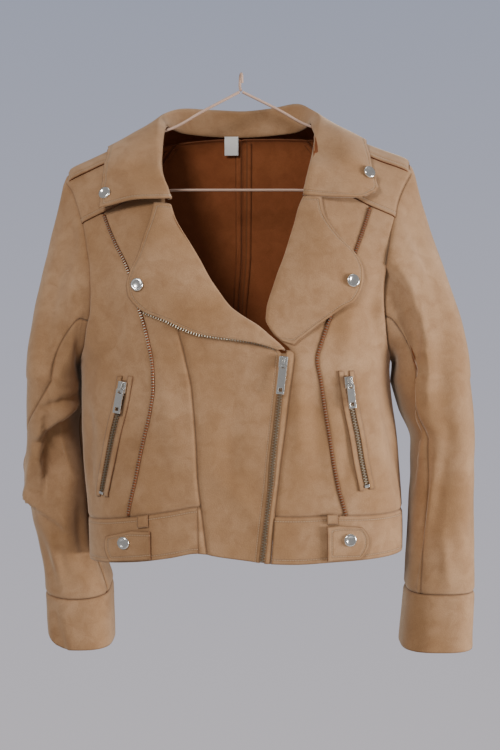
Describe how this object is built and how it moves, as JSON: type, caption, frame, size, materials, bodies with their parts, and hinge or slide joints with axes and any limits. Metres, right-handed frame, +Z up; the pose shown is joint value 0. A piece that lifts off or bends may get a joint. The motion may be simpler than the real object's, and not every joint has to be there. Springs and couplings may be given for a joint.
{
  "type": "suede jacket on a wire hanger",
  "caption": "Cropped tan faux-suede biker jacket with wide lapels and a slanted metal zip, hanging on a thin coated wire hanger.",
  "frame": {"origin": "inner top of the hanger's hook, where a rail would touch it", "axes": "+Z up, the front of the jacket faces -Y, +X is the wearer's left"},
  "size_m": [0.5162, 0.1883, 0.6665],
  "materials": {
    "suede": "soft napped tan suede, wrong side smooth brown",
    "suede_cuff": "the same suede, turned back double at the cuff",
    "silver_metal": "polished silver-coloured metal",
    "coated_wire": "blush satin coating",
    "label_cloth": "plain white woven label"
  },
  "bodies": {
    "jacket": {"band_edge_right": "suede", "centre_back_left": "suede", "centre_back_right": "suede", "centre_front_left": "suede", "centre_front_right": "suede", "collar": "suede", "cuff_left": "suede_cuff", "cuff_right": "suede_cuff", "front_yoke_left": "suede", "front_yoke_right": "suede", "hanger_frame": "coated_wire", "hanger_hook": "coated_wire", "lapel_left": "suede", "lapel_right": "suede", "main_zip_chain": "silver_metal", "neck_label": "label_cloth", "overlap_front_right": "suede", "pocket_zip_chain_left": "silver_metal", "pocket_zip_chain_right": "silver_metal", "shoulder_strip_left": "suede", "shoulder_strip_right": "suede", "side_back_left": "suede", "side_back_right": "suede", "side_front_left": "suede", "side_front_right": "suede", "slider_bridge_main": "silver_metal", "slider_bridge_pocket_left": "silver_metal", "slider_bridge_pocket_right": "silver_metal", "snap_collar_left": "silver_metal", "snap_collar_right": "silver_metal", "snap_lapel_left": "silver_metal", "snap_lapel_right": "silver_metal", "snap_waist_left": "silver_metal", "snap_waist_right": "silver_metal", "tab_loop_left": "suede", "tab_loop_right": "suede", "under_sleeve_left": "suede", "under_sleeve_right": "suede", "upper_sleeve_left": "suede", "upper_sleeve_right": "suede", "waist_tab_left": "suede", "waist_tab_right": "suede", "waistband_back": "suede", "waistband_left": "suede", "waistband_right": "suede", "zip_slider_main": "silver_metal", "zip_slider_pocket_left": "silver_metal", "zip_slider_pocket_right": "silver_metal", "zip_stop_pocket_left": "silver_metal", "zip_stop_pocket_right": "silver_metal", "zip_strip_left": "suede", "zip_trim_left": "silver_metal", "zip_trim_right": "silver_metal"},
    "pull_main": {"pull_tab_main": "silver_metal"},
    "pull_pocket_right": {"pull_tab_pocket_right": "silver_metal"},
    "pull_pocket_left": {"pull_tab_pocket_left": "silver_metal"}
  },
  "joints": [
    {"name": "swing_main", "type": "hinge", "parent": "jacket", "child": "pull_main", "pos_m": [0.04533, -0.10166, -0.33428], "axis": [-0.9908, -0.0764, 0.112], "range_deg": [0, 105]},
    {"name": "swing_pocket_right", "type": "hinge", "parent": "jacket", "child": "pull_pocket_right", "pos_m": [-0.12817, -0.08976, -0.36116], "axis": [-0.9334, 0.3053, 0.1884], "range_deg": [0, 105]},
    {"name": "swing_pocket_left", "type": "hinge", "parent": "jacket", "child": "pull_pocket_left", "pos_m": [0.11718, -0.08987, -0.35571], "axis": [-0.9395, -0.3237, -0.1125], "range_deg": [0, 105]}
  ]
}
